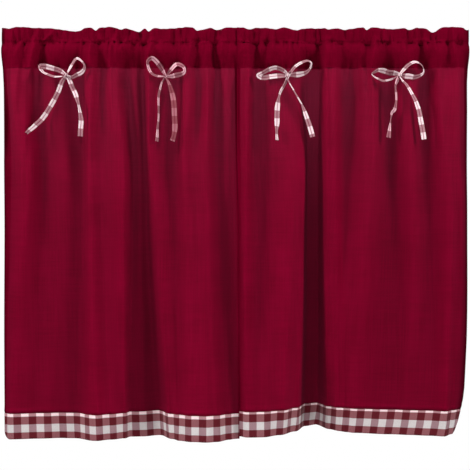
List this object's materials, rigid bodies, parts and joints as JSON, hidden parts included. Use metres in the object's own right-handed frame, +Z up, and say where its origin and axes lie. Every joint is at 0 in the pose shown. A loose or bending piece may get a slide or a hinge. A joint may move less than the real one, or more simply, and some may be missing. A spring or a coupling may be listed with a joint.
{
  "type": "rod pocket curtain",
  "caption": "Pair of short semi-sheer curtains in uneven folds, each with a ruffled rod pocket heading, a gingham hem band and ribbon bows under the pocket.",
  "frame": {"origin": "on the axis of the rod that the pockets take, midway along the pair", "axes": "+X along the rod, to the right as seen from the front; -Y to the front; +Z up"},
  "size_m": [1.0321, 0.1747, 0.9116],
  "materials": {
    "sheer_cloth": "semi-sheer plain weave, burgundy",
    "double_cloth": "two layers of the burgundy weave",
    "gingham": "burgundy and white gingham, 17 mm checks",
    "ribbon": "gingham ribbon, 12.5 mm wide"
  },
  "bodies": {
    "root": {"cloth_left": "sheer_cloth", "cloth_right": "sheer_cloth", "heading_left": "double_cloth", "heading_right": "double_cloth", "hem_band_left": "gingham", "hem_band_right": "gingham", "bow_1": "ribbon", "bow_2": "ribbon", "bow_3": "ribbon", "bow_4": "ribbon"}
  },
  "joints": []
}
